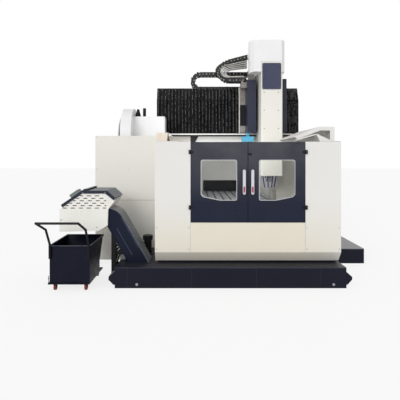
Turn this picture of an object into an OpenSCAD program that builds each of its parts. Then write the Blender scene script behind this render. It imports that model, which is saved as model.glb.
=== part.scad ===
// Double-column vertical machining centre with enclosure, tool magazine, chip conveyor and chip cart.
// X runs to the right, Y to the back and Z up, in millimetres. The origin is on the floor,
// below the meeting line of the two doors, in the plane of the front panels.

/* [Enclosure] */
// Width over the front panels
enc_w = 2980; // [2900:10:3060]
// Height of the front panels above the floor
enc_h = 2280; // [2270:2:2300]
// Height where the lower chamfer of the panels starts
chamfer_top = 510; // [460:5:540]
// Height of the lower edge of the panels
enc_bottom = 350; // [340:2:400]
// Distance that the lower chamfer runs back
chamfer_back = 120; // [80:5:160]
// Thickness of the folded panels
panel_t = 40; // [30:1:45]
// Distance from the back of the bed to the back of the rear wall
rear_room = 290; // [250:10:450]

/* [Doors] */
// Width of one door
door_w = 917; // [900:1:917]
// Height of one door
door_h = 1288; // [1260:2:1288]
// Height of the doors' lower edge
door_z = 986; // [980:2:990]
// Width of one window
window_w = 573; // [500:1:600]
// Height of one window at its inner side
window_h = 645; // [600:5:660]
// Height of a door handle
handle_h = 395; // [300:5:450]

/* [Table] */
// Width of the work table
table_w = 1400; // [1300:10:1450]
// Length of the work table
table_l = 2300; // [2200:10:2300]
// Height of the table's top above the floor
table_z = 1200; // [1190:5:1210]
// Distance between two T-slots
slot_pitch = 144; // [130:1:150]
// Width of a T-slot's throat
slot_w = 22; // [18:1:28]

/* [Gantry] */
// Height of the underside of the crossbeam
beam_z = 2500; // [2490:5:2520]
// Height of the crossbeam
beam_h = 1000; // [960:10:1020]
// Number of pleats in the long bellows
pleats = 24; // [16:1:30]

/* [Head] */
// Width of the ram
ram_w = 429; // [400:1:440]
// Depth of the ram
ram_d = 630; // [600:5:640]
// Height of the ram's lower end above the floor
ram_z = 1650; // [1640:5:1700]
// Height of the top of the head housing
head_top = 4390; // [4300:10:4500]

/* [Conveyor] */
// Thickness of the inclined conveyor
conveyor_t = 283; // [260:1:300]
// Width of the inclined conveyor
conveyor_w = 380; // [340:5:400]
// Height of the coolant tank
tank_h = 320; // [300:5:330]
// Number of slot rows in the discharge hood
slot_rows = 6; // [4:1:6]

/* [Cart] */
// Width of the chip cart
cart_w = 610; // [560:5:640]
// Length of the chip cart
cart_l = 880; // [800:10:900]
// Height of the hopper's rim
rim_z = 690; // [640:5:720]
// Diameter of a caster wheel
wheel_d = 96; // [80:2:98]

/* [Hidden] */
$fn = 48;

ivory = "#e9e7e0";
navy = "#2c2f42";
castings = "#c9c8c2";
steel = "#b9bcc0";
black = "#1a1a1c";

half_w = enc_w / 2;
cabinet_x0 = -2742;
cabinet_top = 2434;
guard_top = enc_h + 260;
peak_top = enc_h + 128;
left_guard_top = enc_h + 160;
seam = 0.5;
seat = 0.3;
sheet = 12;

door_gap = 3;
door_half = door_w + door_gap + 1;
door_top = door_z + door_h;
glass_t = 8;
glass_y = 8;
window_z = 1341;
window_out = 752;
window_cut = 67;
window_flat = 261;
handle_x = 67;
handle_z = 1439;
handle_w = 46;
hinge_x = door_half;
hinge_y = -14;
pin_r = 6;
pin_gap = 0.05;
knuckle_r = 12;
knuckle_h = 64;
hinge_z = [1195, 2082];

bed_half = 700;
bed_y0 = 200;
bed_front = 800;
bed_y1 = 4050;
bed_top = 760;
way_h = 60;
way_x = 500;
foot_h = 80;
machine_d = bed_y1 + rear_room;
base_half = half_w - sheet;
bed_cell = 520;
rib_t = 70;
rib_depth = 60;
beam_rim = 120;
beam_cells = 5;
base_y0 = 2400;
base_y1 = 3400;
base_top = 600;
column_x0 = 950;
column_x1 = 1430;
column_y0 = 2450;
column_y1 = 3300;
table_y0 = 1050;

beam_x0 = -1686;
beam_x1 = 1420;
beam_y0 = 2500;
beam_y1 = 3200;
rail_y0 = 2440;
rail_zs = [2700, 3300];
rail_h = 60;
link_gap = [8, 14];
rail_top = rail_zs[1] + rail_h + 5;
bellows_y = 2350;
bellows_z = 2540;
crease_z = 3260;
bellows_lean = 23;
bellows_top = 3554;
saddle_x0 = 130;
saddle_x1 = 1150;
saddle_y0 = 2320;
saddle_y1 = rail_y0 - seat;
saddle_z0 = 2560;
saddle_z1 = 3560;

ram_x = 700;
ram_y0 = 1650;
ram_y1 = ram_y0 + ram_d;
ram_top = 3960;
spindle_y = ram_y0 + ram_d / 2;

bend_x = -2278;
bend_z = 915;
incline_y0 = 100;
incline_len = 900;
hood_y0 = 50;
hood_y1 = 700;
hood_wall = 6;
hood_outline = [[-3035, 828], [-3035, 1189], [-2667, 1444], [-2291, 1444], [-2145, 1323],
    [-2251, 1189], [-2259, 928], [-2412, 841]];

tank_x0 = -2093;
tank_x1 = 1500;
tank_y0 = -200;
tank_y1 = 190;

cart_x = -2750;
cart_y0 = -330;
cart_y1 = cart_y0 + cart_l;
hopper_z = 125;
hopper_t = 6;
wheel_r = wheel_d / 2;
axle_r = 8;
wheel_w = 32;
caster_x = 235;
caster_y0 = cart_y0 + 60;
caster_y1 = cart_y1 - 110;

// A block between two opposite corners.
module block(a, b) {
    translate(a) cube(b - a);
}

// A front outline (X, Z) drawn out from y0 to y1.
module along_y(y0, y1) {
    translate([0, y1, 0]) rotate([90, 0, 0]) linear_extrude(y1 - y0) children();
}

// A side outline (Y, Z) drawn out from x0 to x1.
module along_x(x0, x1) {
    translate([x0, 0, 0]) rotate([90, 0, 90]) linear_extrude(x1 - x0) children();
}

// A straight round bar between two points.
module bar(a, b, r) {
    d = b - a;
    translate(a) rotate([0, acos(d[2] / norm(d)), atan2(d[1], d[0])]) cylinder(h = norm(d), r = r);
}

module left_and_right() {
    children();
    mirror([1, 0, 0]) children();
}

module bed() {
    color(castings) difference() {
        union() {
            block([-bed_half, bed_y0, 430], [bed_half, bed_y1, bed_top]);
            block([-bed_half, bed_front, foot_h], [bed_half, bed_y1, bed_top]);
            block([-base_half, base_y0, foot_h], [base_half, base_y1, base_top]);
        }
        block([-way_x + 130, bed_y0 - 1, bed_top - 120], [way_x - 130, bed_y1 + 1, bed_top + 1]);
        for (y = [900 : bed_cell : bed_y1 - bed_cell]) left_and_right() bed_pocket(y);
    }
}

// A cast recess between two ribs in the bed's side.
module bed_pocket(y) {
    block([bed_half - rib_depth, y, 300], [bed_half + 1, y + bed_cell - rib_t, bed_top - 110]);
}

module bed_ways() {
    color(steel) left_and_right()
        block([way_x - 60, bed_y0, bed_top], [way_x + 60, bed_y1, bed_top + way_h]);
}

module levelling_feet() {
    color(steel) {
        for (x = [-560, 560], y = [950, 1750, 3900]) foot(x, y);
        for (x = [-1250, 1250], y = [2550, 3250]) foot(x, y);
    }
}

module foot(x, y) {
    translate([x, y, 0]) {
        cylinder(h = 30, r = 90);
        cylinder(h = foot_h, r = 40);
    }
}

module front_tank() {
    color(navy) union() {
        block([tank_x0, tank_y0, 0], [tank_x1, tank_y1, tank_h]);
        block([tank_x0, tank_y1 - 1, 0], [-half_w - 10, 1150, tank_h]);
        block([20 - base_half, tank_y1 - 25, tank_h - 1], [base_half - 20, tank_y1, enc_bottom - seat]);
        block([20 - bed_half, tank_y1 - 1, 0], [bed_half - 20, bed_front - seat, tank_h]);
        for (end = [[tank_x0, -1], [tank_x1, 1]])
            along_y(tank_y0 + 40, tank_y0 + 340) polygon([[end[0] - end[1], 257],
                [end[0] + end[1] * 105, 165], [end[0] + end[1] * 105, 120],
                [end[0] + end[1] * 30, 40], [end[0] - end[1], 40]]);
    }
}

// The conveyor's side outline: level at the head, then down at 60 degrees, t thick above the bend.
module conveyor_outline(t) {
    translate([-2700, bend_z]) square([2700 + bend_x, t]);
    translate([bend_x, bend_z]) {
        intersection() {
            circle(r = t);
            polygon([[0, 0], [0, 2 * t], [2 * t, 2 * t], [2 * t, 2 * t * tan(27)]]);
        }
        intersection() {
            rotate(-60) square([incline_len, t]);
            translate([-10, tank_h - bend_z]) square([2000, 2000]);
        }
    }
}

module conveyor_incline() {
    color(navy) along_y(incline_y0, incline_y0 + conveyor_w) conveyor_outline(conveyor_t);
}

module conveyor_cover() {
    color("#777b80") along_y(incline_y0 - 8, incline_y0 + conveyor_w + 8) difference() {
        conveyor_outline(conveyor_t + sheet);
        conveyor_outline(conveyor_t);
        translate([-4000, 0]) square([4000 + bend_x + 20, 3000]);
    }
}

// The discharge hood is a sheet-metal box, open below over the cart.
module discharge_hood() {
    color(ivory) difference() {
        along_y(hood_y0, hood_y1) polygon(hood_outline);
        along_y(hood_y0 + hood_wall, hood_y1 - hood_wall) difference() {
            offset(delta = -hood_wall) polygon(hood_outline);
            translate([bend_x - 4, 0]) square([400, 3000]);
        }
        block([-2980, hood_y0 + 60, 800], [-2500, hood_y1 - 60, 900]);
        along_y(incline_y0 - 9, incline_y0 + conveyor_w + 9) conveyor_outline(conveyor_t + sheet);
        for (row = [0 : slot_rows - 1]) slot_row(row);
    }
}

// One row of slots, cut through the front and shifted by half a pitch against the row above.
module slot_row(row) {
    pitch = 129;
    z = 1203 + row * 39.4;
    inset = 55 + max(0, row - 0.5) * 58;
    count = row < 3 ? 6 : 8 - row;
    for (i = [0 : count - 1])
        block([-3035 + inset + i * pitch, hood_y0 - 1, z],
            [-3035 + inset + i * pitch + 66, hood_y0 + hood_wall + 1, z + 14]);
}

module hood_lid() {
    color(navy) along_y(hood_y0 - 12, hood_y1 + 12) polygon([[-2985, 1223.7], [-2667, 1444.1],
        [-2291, 1444.1], [-2165, 1339.7], [-2132, 1372], [-2262, 1491], [-2600, 1491], [-2580, 1520],
        [-2632, 1520], [-3010, 1262]]);
}

module conveyor_motors() {
    color("#8f9a98") {
        translate([-2822, 300, 1390.7]) rotate([0, -34.3, 0]) translate([-85, -75, 0]) cube([170, 150, 70]);
        translate([-2048, 350, tank_h]) {
            translate([-42, -60, 0]) cube([80, 120, 24]);
            translate([0, -80, 60]) rotate([-90, 0, 0]) cylinder(h = 170, r = 44);
        }
    }
}

module conveyor_post() {
    color(black) {
        block([-2229, 200, 0], [-2155, 274, 690]);
        along_y(200, 274) polygon([[-2229, 689], [-2155, 689], [-2155, 701.8], [-2229, 829.9]]);
        along_y(220, 254) polygon([[-2155, 425], [-1997, 425], [-2028, 475], [-2155, 475]]);
        block([-2275, 190, 0], [-2110, 284, 12]);
    }
}

module coolant_pump() {
    color(black) translate([-1690, 740, tank_h]) {
        translate([-110, -110, 0]) cube([220, 220, 14]);
        cylinder(h = 240, r = 70);
        translate([0, 0, 239]) cylinder(h = 80, r = 86);
    }
}

module side_tank() {
    color(navy) difference() {
        block([base_half + seat, 1240, 0], [2380, 2840, 268]);
        block([base_half + 20, 1260, 20], [2360, 2820, 269]);
    }
}

module side_tank_lid() {
    color("#8b8f96") block([base_half + seat, 1240, 268], [2380, 2840, 280]);
}

// The side outline of a front panel, with its lower chamfer.
module panel_outline(top) {
    polygon([[0, top], [0, chamfer_top], [chamfer_back, enc_bottom],
        [chamfer_back + panel_t, enc_bottom], [panel_t, chamfer_top + panel_t / 3], [panel_t, top]]);
}

module left_front_panel() {
    color(ivory) along_x(-half_w, -door_half) panel_outline(enc_h);
}

module right_front_panel() {
    color(ivory) along_x(door_half, half_w) panel_outline(enc_h);
}

module front_apron() {
    color("#e2ddd0") along_x(-door_half + seam, door_half - seam) panel_outline(door_z - door_gap);
}

module side_walls() {
    color(ivory) left_and_right()
        along_x(half_w - sheet, half_w) polygon([[panel_t, enc_h], [panel_t, chamfer_top + panel_t / 3],
            [chamfer_back + panel_t, enc_bottom], [machine_d - panel_t, enc_bottom],
            [machine_d - panel_t, enc_h]]);
}

module rear_wall() {
    color(ivory) difference() {
        block([-half_w, machine_d - panel_t, 100], [half_w, machine_d, enc_h]);
        for (x = [-half_w + 90, 60]) door_seam(x, half_w - 150);
        for (x = [-half_w + 320, 290], i = [0 : 7])
            block([x, machine_d - 9, 1500 + 50 * i], [x + half_w - 610, machine_d + 1, 1518 + 50 * i]);
    }
}

// The gap round a service door in the rear wall.
module door_seam(x, w) {
    y = machine_d - 3;
    difference() {
        block([x, y, 250], [x + w, machine_d + 1, enc_h - 120]);
        block([x + 5, y - 1, 255], [x + w - 5, machine_d + 2, enc_h - 125]);
    }
}

module roof_guards() {
    color(ivory) {
        along_y(300, 1500) polygon([[820, guard_top - 168], [1236, guard_top], [half_w, guard_top],
            [half_w, enc_h], [half_w - sheet, enc_h], [half_w - sheet, guard_top - sheet],
            [1238, guard_top - sheet], [824, guard_top - 179]]);
        along_y(60, 280) polygon([[790, peak_top - 96], [1114, peak_top], [1160, peak_top - 13],
            [1182, enc_h + 1], [1168, enc_h + 1], [1150, peak_top - 24], [1114, peak_top - 13],
            [794, peak_top - 108]]);
        block([1180, 60, enc_h], [half_w, 280, enc_h + sheet]);
        along_y(60, 60 + sheet) polygon([[1120, peak_top - 15], [1175, enc_h + 1],
            [1400, enc_h + 1], [1160, peak_top - 20]]);
        along_y(300, 300 + sheet) polygon([[820, guard_top - 168], [1236, guard_top],
            [half_w, guard_top], [half_w, enc_h], [half_w - 75, enc_h], [half_w - 75, guard_top - 62],
            [1250, guard_top - 62], [870, guard_top - 209]]);
        along_y(1500 - sheet, 1500) polygon([[820, guard_top - 168], [1236, guard_top],
            [half_w, guard_top], [half_w, enc_h], [950, enc_h], [830, guard_top - 200]]);
        along_y(300, 1500) polygon([[200 - half_w, left_guard_top], [-half_w, left_guard_top],
            [-half_w, enc_h], [-half_w + sheet, enc_h], [-half_w + sheet, left_guard_top - sheet],
            [200 - half_w, left_guard_top - sheet]]);
        block([-half_w, 60, enc_h], [-1120, 280, enc_h + sheet]);
    }
}

module side_cabinet() {
    color(ivory) difference() {
        union() {
            block([cabinet_x0, 1200, 1212], [-half_w, 3000, cabinet_top]);
            block([cabinet_x0, 1204, 80], [-half_w, 3000, 1213]);
            for (x = [cabinet_x0 + 42, -half_w - 70], y = [1260, 2900])
                translate([x, y, 0]) cylinder(h = 81, r = 25);
        }
        for (y = [1700, 2400])
            block([cabinet_x0 - 1, y, 1240], [cabinet_x0 + 4, y + 5, cabinet_top - 40]);
        for (z = [1240, cabinet_top - 45])
            block([cabinet_x0 - 1, 1230, z], [cabinet_x0 + 4, 2970, z + 5]);
        for (i = [0 : 9])
            block([cabinet_x0 - 1, 1800, 400 + 45 * i], [cabinet_x0 + 7, 2300, 418 + 45 * i]);
    }
}

module tool_magazine() {
    color(ivory) translate([-2010, 2000, cabinet_top]) {
        along_x(-310, -100) difference() {
            translate([0, 40]) circle(r = 560);
            translate([-700, -800]) square([1400, 800]);
        }
        along_x(-375, -360) difference() {
            translate([0, -60]) circle(r = 480);
            translate([-700, -800]) square([1400, 800]);
        }
        block([-361, -60, 0], [-309, 60, 200]);
    }
}

module magazine_box() {
    color(ivory) block([-2109, 1800, cabinet_top], [-1470, 2250, cabinet_top + 426]);
}

module tool_gripper() {
    color(black) {
        translate([-2041, 2000, cabinet_top + 426]) cylinder(h = 170, r1 = 66, r2 = 22);
        translate([-1908, 2000, cabinet_top + 426]) cylinder(h = 190, r = 32);
    }
}

module columns() {
    color(castings) left_and_right() difference() {
        along_x(column_x0, column_x1) polygon([[column_y0, base_top], [base_y1, base_top],
            [base_y1, base_top + 150], [column_y1, base_top + 800], [column_y1, beam_z],
            [column_y0, beam_z]]);
        for (z = [1450, 1960])
            block([column_x0 + 80, column_y1 - rib_depth, z],
                [column_x1 - 80, column_y1 + 1, z + 440]);
        for (z = [760, 1340, 1920])
            block([column_x0 - 1, column_y0 + 110, z], [column_x0 + rib_depth, column_y1 - 110, z + 500]);
    }
}

module crossbeam() {
    cell = (beam_x1 - beam_x0 - 2 * beam_rim) / beam_cells;
    color(castings) difference() {
        block([beam_x0, beam_y0, beam_z], [beam_x1, beam_y1, beam_z + beam_h]);
        for (i = [0 : beam_cells - 1]) {
            x = beam_x0 + beam_rim + i * cell + rib_t / 2;
            block([x, beam_y1 - rib_depth, beam_z + beam_rim],
                [x + cell - rib_t, beam_y1 + 1, beam_z + beam_h - beam_rim]);
        }
        left_end_pocket();
    }
}

module left_end_pocket() {
    block([beam_x0 - 1, beam_y0 + beam_rim, beam_z + beam_rim],
        [beam_x0 + rib_depth, beam_y1 - beam_rim, beam_z + beam_h - beam_rim]);
}

module beam_rails() {
    color(steel) for (z = rail_zs)
        block([beam_x0 + 30, rail_y0, z], [beam_x1 - 30, beam_y0, z + rail_h]);
}

module beam_ledge() {
    color(ivory) {
        block([-1467, 2330, bellows_z - seat - 28], [1276, beam_y0, bellows_z - seat]);
        block([-column_x0, beam_y0 - sheet, 2300], [column_x0, beam_y0, bellows_z - seat - 27]);
    }
}

// One bellows: a zigzag skin over the rails, upright below and leaning back above its crease.
module bellows(x0, x1, count, depth) {
    pitch = (x1 - x0) / count;
    zigzag = [for (i = [0 : 2 * count]) [x0 + i * pitch / 2, i % 2 == 0 ? depth : 0]];
    difference() {
        union() {
            translate([0, bellows_y, bellows_z])
                linear_extrude(crease_z - bellows_z) bellows_section(zigzag, x0, x1);
            translate([0, bellows_y, crease_z]) multmatrix([[1, 0, 0, 0], [0, 1, tan(bellows_lean), 0],
                [0, 0, 1, 0]]) linear_extrude(bellows_top - crease_z) bellows_section(zigzag, x0, x1);
        }
        block([x0 - 1, rail_y0 - seat, bellows_z - 1], [x1 + 1, 3000, rail_top]);
        block([x0 - 1, beam_y0 - seat, rail_top - 1], [x1 + 1, 3000, bellows_top + 1]);
    }
}

module bellows_section(zigzag, x0, x1) {
    polygon(concat(zigzag, [[x1, 200], [x0, 200]]));
}

module beam_bellows() {
    color(black) {
        bellows(beam_x0, saddle_x0 - 22, pleats, 26);
        bellows(saddle_x1 + 4, beam_x1, 10, 12);
    }
}

// A flat band of links bent round a half circle, seen from the front.
module chain_loop(x_bend, x_low, x_high, z_low, r, t) {
    difference() {
        union() {
            translate([x_bend, z_low + r]) circle(r = r);
            translate([x_bend, z_low]) square([x_low - x_bend, t]);
            translate([x_bend, z_low + 2 * r - t]) square([x_high - x_bend, t]);
        }
        translate([x_bend, z_low + r]) circle(r = r - t);
        translate([x_bend, z_low + t]) square([x_high - x_bend + x_low, 2 * r - 2 * t]);
        for (x = [x_bend + t : t : x_low - 20], z = [z_low - 1, z_low + t - link_gap[1] + 1])
            translate([x, z]) square(link_gap);
        for (x = [x_bend + t : t : x_high - 20], z = [z_low + 2 * r - t - 1, z_low + 2 * r - link_gap[1] + 1])
            translate([x, z]) square(link_gap);
        for (a = [99 : 18 : 261])
            translate([x_bend, z_low + r]) rotate(a) translate([r - link_gap[1] + 1, -link_gap[0] / 2])
                square([link_gap[1] + 1, link_gap[0]]);
    }
}

module lower_chain() {
    color(black) along_y(2560, 2760) chain_loop(-730, 200, 320, beam_z + beam_h + sheet + seat, 210, 92);
}

module upper_chain() {
    color(black) along_y(2090, 2240) chain_loop(-110, 240, 269, 3640, 285, 90);
}

module chain_tray() {
    color(ivory) difference() {
        block([-900, 2540, beam_z + beam_h], [300, 2790, beam_z + beam_h + 60]);
        block([-901, 2552, beam_z + beam_h + sheet], [301, 2778, beam_z + beam_h + 61]);
    }
}

// The fixed half of each hinge: a block on the side panel and the pin.
module hinge_blocks() {
    color(black) left_and_right() for (z = hinge_z) {
        translate([hinge_x, hinge_y, z]) cylinder(h = knuckle_h, r = pin_r);
        for (dz = [0, knuckle_h - 18]) translate([hinge_x, hinge_y, z + dz]) {
            cylinder(h = 18, r = knuckle_r);
            translate([0, -knuckle_r, 0]) cube([28, knuckle_r - hinge_y, 18]);
        }
        block([hinge_x + 20, hinge_y - knuckle_r, z], [hinge_x + 28, 0, z + knuckle_h]);
    }
}

// A right door's half of the hinges, with bores for the pins.
module knuckles() {
    for (z = hinge_z) difference() {
        union() {
            translate([hinge_x, hinge_y, z + 18.5]) cylinder(h = knuckle_h - 37, r = knuckle_r);
            block([hinge_x - 42, hinge_y - knuckle_r, z + 18.5],
                [hinge_x - 1, hinge_y + knuckle_r, z + knuckle_h - 18.5]);
            block([hinge_x - 42, hinge_y, z + 18.5], [hinge_x - 5, 0, z + knuckle_h - 18.5]);
        }
        translate([hinge_x, hinge_y, z]) cylinder(h = knuckle_h, r = pin_r + pin_gap);
    }
}

// The outline of a right window, with its lower outer corner cut off and round corners.
module window_outline(grow) {
    offset(r = 32 + grow) offset(delta = -32) polygon([[window_out - window_w, window_z],
        [window_out - window_w, window_z + window_h], [window_out, window_z + window_h],
        [window_out, window_z + window_cut], [window_out - window_flat, window_z]]);
}

module door_leaf() {
    difference() {
        block([door_gap / 2, 0, door_z], [door_gap / 2 + door_w, panel_t, door_top]);
        along_y(-1, panel_t + 1) window_outline(0);
    }
}

module window_glass() {
    along_y(glass_y, glass_y + glass_t) window_outline(-0.2);
}

// An oval grip on two stand-offs.
module grip() {
    along_y(-70, -46) {
        translate([handle_x - handle_w / 2, handle_z + handle_w / 2])
            square([handle_w, handle_h - handle_w]);
        for (z = [handle_w / 2, handle_h - handle_w / 2])
            translate([handle_x, handle_z + z]) circle(r = handle_w / 2);
    }
    for (z = [50, handle_h - 50])
        translate([handle_x, 0, handle_z + z]) rotate([90, 0, 0]) cylinder(h = 47, r = 11);
}

module left_door() { color(navy) mirror([1, 0, 0]) door_leaf(); }
module right_door() { color(navy) door_leaf(); }
module left_window() { color([0.75, 0.8, 0.82, 0.4]) mirror([1, 0, 0]) window_glass(); }
module right_window() { color([0.75, 0.8, 0.82, 0.4]) window_glass(); }
module left_handle() { color(steel) mirror([1, 0, 0]) grip(); }
module right_handle() { color(steel) grip(); }
module left_knuckles() { color(black) mirror([1, 0, 0]) knuckles(); }
module right_knuckles() { color(black) knuckles(); }

// The table: a slab with T-slots on a lower body that rides on the ways.
module work_table() {
    slots = floor((table_w / 2 - 60) / slot_pitch);
    way_top = bed_top + way_h + seat;
    color("#9a9da0") difference() {
        union() {
            block([-table_w / 2, table_y0, table_z - 160], [table_w / 2, table_y0 + table_l, table_z]);
            block([-600, table_y0 + 150, way_top], [600, table_y0 + table_l - 150, table_z - 159]);
        }
        for (i = [-slots : slots]) translate([i * slot_pitch, 0, 0]) {
            block([-slot_w / 2, 0, table_z - 38], [slot_w / 2, machine_d, table_z + 1]);
            block([-slot_w * 0.84, 0, table_z - 38], [slot_w * 0.84, machine_d, table_z - 22]);
        }
    }
}

module chip_guard() {
    y = table_y0 + table_l;
    color(black) block([-650, y, table_z - 150], [650, y + 14, table_z + 260]);
}

module saddle() {
    color("#8d8580") {
        block([saddle_x0, saddle_y0, saddle_z0], [saddle_x1, saddle_y1, saddle_z1]);
        block([320, saddle_y0, saddle_z1 - 1], [520, saddle_y1, 3932]);
        block([320, saddle_y0, 3840], [520, 2780, 3932]);
        block([135, 2090, 3500], [247, saddle_y0 + 1, 3640]);
    }
}

module saddle_guards() {
    color(navy) {
        along_x(248, 425) polygon([[1950, 2540], [saddle_y0, 2540], [saddle_y0, 3720], [1950, 3640]]);
        along_x(986, 1064) polygon([[1950, 2540], [saddle_y0, 2540], [saddle_y0, 3700], [1950, 3660]]);
    }
}

module drip_tray() {
    color("#6fb4cf") block([146, 1960, 2350], [378, 2200, 2458]);
    color("#6fb4cf") block([240, 2060, 2457], [300, 2100, 2540]);
}

module ram() {
    x0 = ram_x - ram_w / 2;
    color(ivory) union() {
        translate([0, 0, ram_z]) linear_extrude(ram_top - ram_z) polygon([[x0 + 12, ram_y0],
            [x0, ram_y0 + 12], [x0, ram_y1], [x0 + ram_w, ram_y1], [x0 + ram_w, ram_y0 + 12],
            [x0 + ram_w - 12, ram_y0]]);
        for (x = [ram_x - 150, ram_x + 110])
            block([x, ram_y1 - 1, ram_z + 700], [x + 40, saddle_y0 - seat, ram_top - 60]);
    }
}

module head_housing() {
    x0 = 262;
    x1 = 976;
    color(ivory) difference() {
        union() {
            translate([0, 0, 3750]) linear_extrude(head_top - 3750) polygon([[339, ram_y0 - 4],
                [x0 + 16, ram_y0 + 90], [x0, ram_y0 + 130], [x0, 1925], [440, 1925], [440, 2300],
                [960, 2300], [960, 1925], [x1, 1925], [x1, ram_y0 + 110], [901, ram_y0 - 4]]);
            block([269, 2090, 4120], [441, 2240, 4210]);
        }
        block([ram_x - ram_w / 2, ram_y0 - 5, 3749], [ram_x + ram_w / 2, 2301, ram_top]);
    }
}

// A shallow cover plate with rounded corners on the front of the ram.
module ram_panel() {
    color(navy) along_y(ram_y0 - 14, ram_y0 - 4)
        translate([505, 3395]) offset(r = 24) offset(delta = -24) square([378, 525]);
    color(navy) along_y(ram_y0 - 5, ram_y0) translate([540, 3420]) square([300, 470]);
}

module coolant_nozzles() {
    top_r = 151.8;
    tip_r = 105;
    color("#3a3f9a") difference() {
        for (a = [200, 250, 290, 340])
            bar([ram_x + top_r * cos(a), spindle_y + top_r * sin(a), ram_z + 10],
                [ram_x + tip_r * cos(a), spindle_y + tip_r * sin(a), ram_z - 250], 11);
        block([ram_x - 200, spindle_y - 200, ram_z], [ram_x + 200, spindle_y + 200, ram_z + 40]);
    }
}

// The spindle nose turns; its taper and its drive keys are in the lower face.
module spindle() {
    color(steel) translate([ram_x, spindle_y, ram_z]) difference() {
        union() {
            translate([0, 0, -60 - seat]) cylinder(h = 60, r = 90);
            translate([0, 0, -130]) cylinder(h = 71, r = 64);
        }
        translate([0, 0, -131]) cylinder(h = 102, r1 = 35, r2 = 20.1);
    }
}

module cart_hopper() {
    x0 = cart_x - cart_w / 2;
    x1 = cart_x + cart_w / 2;
    outline = [[cart_y0, hopper_z], [cart_y0, rim_z], [cart_y1, rim_z], [cart_y1 - 250, 300],
        [cart_y1 - 250, hopper_z]];
    color(navy) difference() {
        union() {
            along_x(x0, x1) polygon(outline);
            block([x0 - 12, cart_y0 - 12, rim_z - 30], [x1 + 12, cart_y1 + 12, rim_z]);
        }
        along_x(x0 + hopper_t, x1 - hopper_t) offset(delta = -hopper_t) polygon(outline);
        along_x(x0 + hopper_t, x1 - hopper_t)
            polygon([[cart_y0 + hopper_t, rim_z - 40], [cart_y0 + hopper_t, rim_z + 1],
                [cart_y1 - hopper_t, rim_z + 1], [cart_y1 - hopper_t - 26, rim_z - 40]]);
    }
}

// A bent tube handle: up from the rim, forward, and across.
module cart_handle() {
    r = 17;
    grip_y = cart_y0 - 560;
    color(black) {
        for (x = [cart_x - cart_w / 2 + 12, cart_x + cart_w / 2 - 12]) {
            y = cart_y0 - 30;
            bar([x, y, 500], [x, y, rim_z + 30], r);
            bar([x, y, rim_z + 30], [x, y - 160, 965], r);
            bar([x, y - 160, 965], [x, grip_y, 1120], r);
            block([x - 15, y, 520], [x + 15, cart_y0, 560]);
            for (p = [[y, rim_z + 30], [y - 160, 965], [grip_y, 1120]])
                translate([x, p[0], p[1]]) sphere(r = r + 1);
        }
        bar([cart_x - cart_w / 2 + 12, grip_y, 1120], [cart_x + cart_w / 2 - 12, grip_y, 1120], r);
    }
}

module cart_base() {
    color(navy) union() {
        block([cart_x - cart_w / 2 - 20, cart_y0 - 20, 105], [cart_x + cart_w / 2, cart_y1 - 20, hopper_z]);
        along_x(cart_x - 130, cart_x + 130) polygon([[cart_y1 - 250, hopper_z], [cart_y1 - 250, 299],
            [cart_y1 - 60, 595], [cart_y1 - 30, 595], [cart_y1 - 30, hopper_z]]);
    }
}

// Caster forks under the base, with the axle of each wheel.
module caster_forks() {
    color(black) for (sx = [-1, 1], y = [caster_y0, caster_y1])
        translate([cart_x + sx * caster_x, y, 0]) {
            translate([-32, -36, 101]) cube([64, 72, 4]);
            for (s = [-1, 1]) translate([s * 22 - 3, -20, wheel_r - 12]) cube([6, 40, 116 - wheel_r]);
            translate([-25, 0, wheel_r]) rotate([0, 90, 0]) cylinder(h = 50, r = axle_r);
        }
}

// Two wheels on one axis, each with a bore for its axle.
module wheel_pair(y) {
    for (sx = [-1, 1]) translate([cart_x + sx * caster_x - wheel_w / 2, y, wheel_r])
        rotate([0, 90, 0]) difference() {
            cylinder(h = wheel_w, r = wheel_r);
            translate([0, 0, -1]) cylinder(h = wheel_w + 2, r = axle_r + pin_gap);
        }
}

module front_wheels() { color("#a8332b") wheel_pair(caster_y0); }
module rear_wheels() { color("#a8332b") wheel_pair(caster_y1); }

bed();
bed_ways();
levelling_feet();
front_tank();
conveyor_incline();
conveyor_cover();
discharge_hood();
hood_lid();
conveyor_motors();
conveyor_post();
coolant_pump();
side_tank();
side_tank_lid();
left_front_panel();
right_front_panel();
front_apron();
side_walls();
rear_wall();
roof_guards();
side_cabinet();
tool_magazine();
magazine_box();
tool_gripper();
columns();
crossbeam();
beam_rails();
beam_ledge();
beam_bellows();
lower_chain();
upper_chain();
chain_tray();
hinge_blocks();
work_table();
chip_guard();
saddle();
saddle_guards();
drip_tray();
ram();
head_housing();
ram_panel();
coolant_nozzles();
spindle();
left_door();
left_window();
left_handle();
left_knuckles();
right_door();
right_window();
right_handle();
right_knuckles();
cart_hopper();
cart_handle();
cart_base();
caster_forks();
front_wheels();
rear_wheels();
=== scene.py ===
import math
import random

import bmesh
import bpy
from mathutils import Matrix, Vector


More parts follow.
